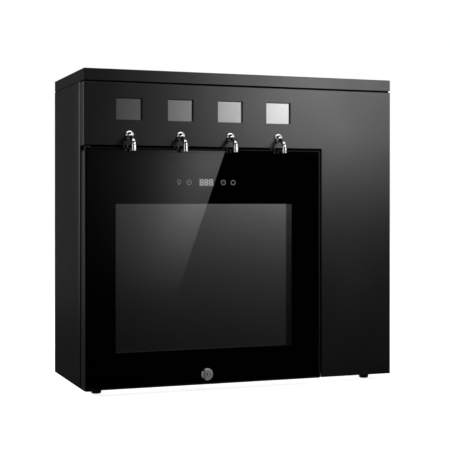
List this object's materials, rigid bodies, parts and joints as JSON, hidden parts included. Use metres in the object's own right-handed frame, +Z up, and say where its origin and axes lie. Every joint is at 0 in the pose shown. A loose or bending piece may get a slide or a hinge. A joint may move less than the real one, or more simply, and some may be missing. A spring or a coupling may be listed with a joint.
{
  "type": "wine preservation dispenser",
  "caption": "Counter-top wine preservation dispenser: glazed lockable cold compartment, a chromed tap and a touch display over each bottle, service column at the side.",
  "frame": {"origin": "on the counter, under the middle of the dispenser's bounding box", "axes": "+Z up, +X to the right as seen from the front, front faces -Y"},
  "size_m": [0.72, 0.3422, 0.6902],
  "materials": {
    "shell_paint": "satin black fine-texture powder coat",
    "zinc_sheet": "plain galvanised sheet",
    "foot_rubber": "moulded rubber",
    "liner_plastic": "dark grey moulded plastic",
    "foam": "rigid foam",
    "lamp_diffuser": "translucent diffuser",
    "fan_plastic": "moulded plastic",
    "steel_line": "drawn steel tube",
    "moulding": "moulded plastic",
    "lift_plastic": "dark moulded plastic",
    "head_steel": "turned steel",
    "display_glass": "touch display glass over a pale screen",
    "tap_chrome": "polished chrome",
    "door_paint": "satin black",
    "header_gloss": "gloss black, faced like the door's glass",
    "black_glass": "smoked glass with a black printed border",
    "clear_glass": "tinted insulating pane",
    "gasket_rubber": "soft gasket",
    "circuit": "circuit board",
    "hinge_steel": "black plated steel",
    "lock_chrome": "polished chrome",
    "compressor_paint": "black enamel",
    "fin_aluminium": "plain fins",
    "fitting_plastic": "black push-in fitting"
  },
  "bodies": {
    "cabinet": {"top_cover": "shell_paint", "neck_frame": "shell_paint", "left_side_panel": "shell_paint", "right_side_panel": "shell_paint", "rear_panel": "shell_paint", "front_fascia": "shell_paint", "base_pan": "zinc_sheet", "partition_panel": "zinc_sheet", "head_rail": "zinc_sheet", "foot_front_left": "foot_rubber", "foot_front_right": "foot_rubber", "foot_back_left": "foot_rubber", "foot_back_right": "foot_rubber", "liner": "liner_plastic", "lift_base": "liner_plastic", "air_duct": "liner_plastic", "insulation_foam": "foam", "lamp_bar": "lamp_diffuser", "fan_shroud": "fan_plastic", "wine_lines": "steel_line", "display_carrier": "moulding", "valve_bank": "moulding", "power_inlet": "moulding", "sealing_heads": "head_steel", "display_1": "display_glass", "display_2": "display_glass", "display_3": "display_glass", "display_4": "display_glass", "spout_1": "tap_chrome", "spout_2": "tap_chrome", "spout_3": "tap_chrome", "spout_4": "tap_chrome", "nozzle_1": "tap_chrome", "nozzle_2": "tap_chrome", "nozzle_3": "tap_chrome", "nozzle_4": "tap_chrome", "door_header": "header_gloss", "controller_board": "circuit", "hinge_upper": "hinge_steel", "hinge_lower": "hinge_steel", "lock_strike": "hinge_steel", "compressor": "compressor_paint", "condenser": "fin_aluminium", "gas_fitting": "fitting_plastic"},
    "door": {"door_frame": "door_paint", "outer_glass": "black_glass", "inner_glass": "clear_glass", "door_gasket": "gasket_rubber", "touch_board": "circuit", "lock_body": "lock_chrome"},
    "lock": {"lock_plug": "lock_chrome", "lock_cam": "lock_chrome"},
    "circulation_rotor": {"circulation_fan": "fan_plastic"},
    "condenser_rotor": {"condenser_fan": "fan_plastic"},
    "lift_1": {"bottle_lift_1": "lift_plastic"},
    "lift_2": {"bottle_lift_2": "lift_plastic"},
    "lift_3": {"bottle_lift_3": "lift_plastic"},
    "lift_4": {"bottle_lift_4": "lift_plastic"}
  },
  "joints": [
    {"name": "door_hinge", "type": "hinge", "parent": "cabinet", "child": "door", "pos_m": [-0.348, -0.12585, 0.271], "axis": [0, 0, -1], "range_deg": [0, 105]},
    {"name": "lock_turn", "type": "hinge", "parent": "door", "child": "lock", "pos_m": [-0.09075, -0.12385, 0.0375], "axis": [0, 1, 0], "range_deg": [0, 90]},
    {"name": "circulation_fan_spin", "type": "hinge", "parent": "cabinet", "child": "circulation_rotor", "pos_m": [-0.0902, 0.10915, 0.365], "axis": [0, 1, 0], "continuous": true},
    {"name": "condenser_fan_spin", "type": "hinge", "parent": "cabinet", "child": "condenser_rotor", "pos_m": [0.27275, 0.14615, 0.266], "axis": [0, 1, 0], "continuous": true},
    {"name": "bottle_lift_1_slide", "type": "slide", "parent": "cabinet", "child": "lift_1", "axis": [0, 0, 1], "range_m": [-0.025, 0], "stiffness_N_per_m": 800, "springref_m": 0.02},
    {"name": "bottle_lift_2_slide", "type": "slide", "parent": "cabinet", "child": "lift_2", "axis": [0, 0, 1], "range_m": [-0.025, 0], "stiffness_N_per_m": 800, "springref_m": 0.02},
    {"name": "bottle_lift_3_slide", "type": "slide", "parent": "cabinet", "child": "lift_3", "axis": [0, 0, 1], "range_m": [-0.025, 0], "stiffness_N_per_m": 800, "springref_m": 0.02},
    {"name": "bottle_lift_4_slide", "type": "slide", "parent": "cabinet", "child": "lift_4", "axis": [0, 0, 1], "range_m": [-0.025, 0], "stiffness_N_per_m": 800, "springref_m": 0.02}
  ]
}
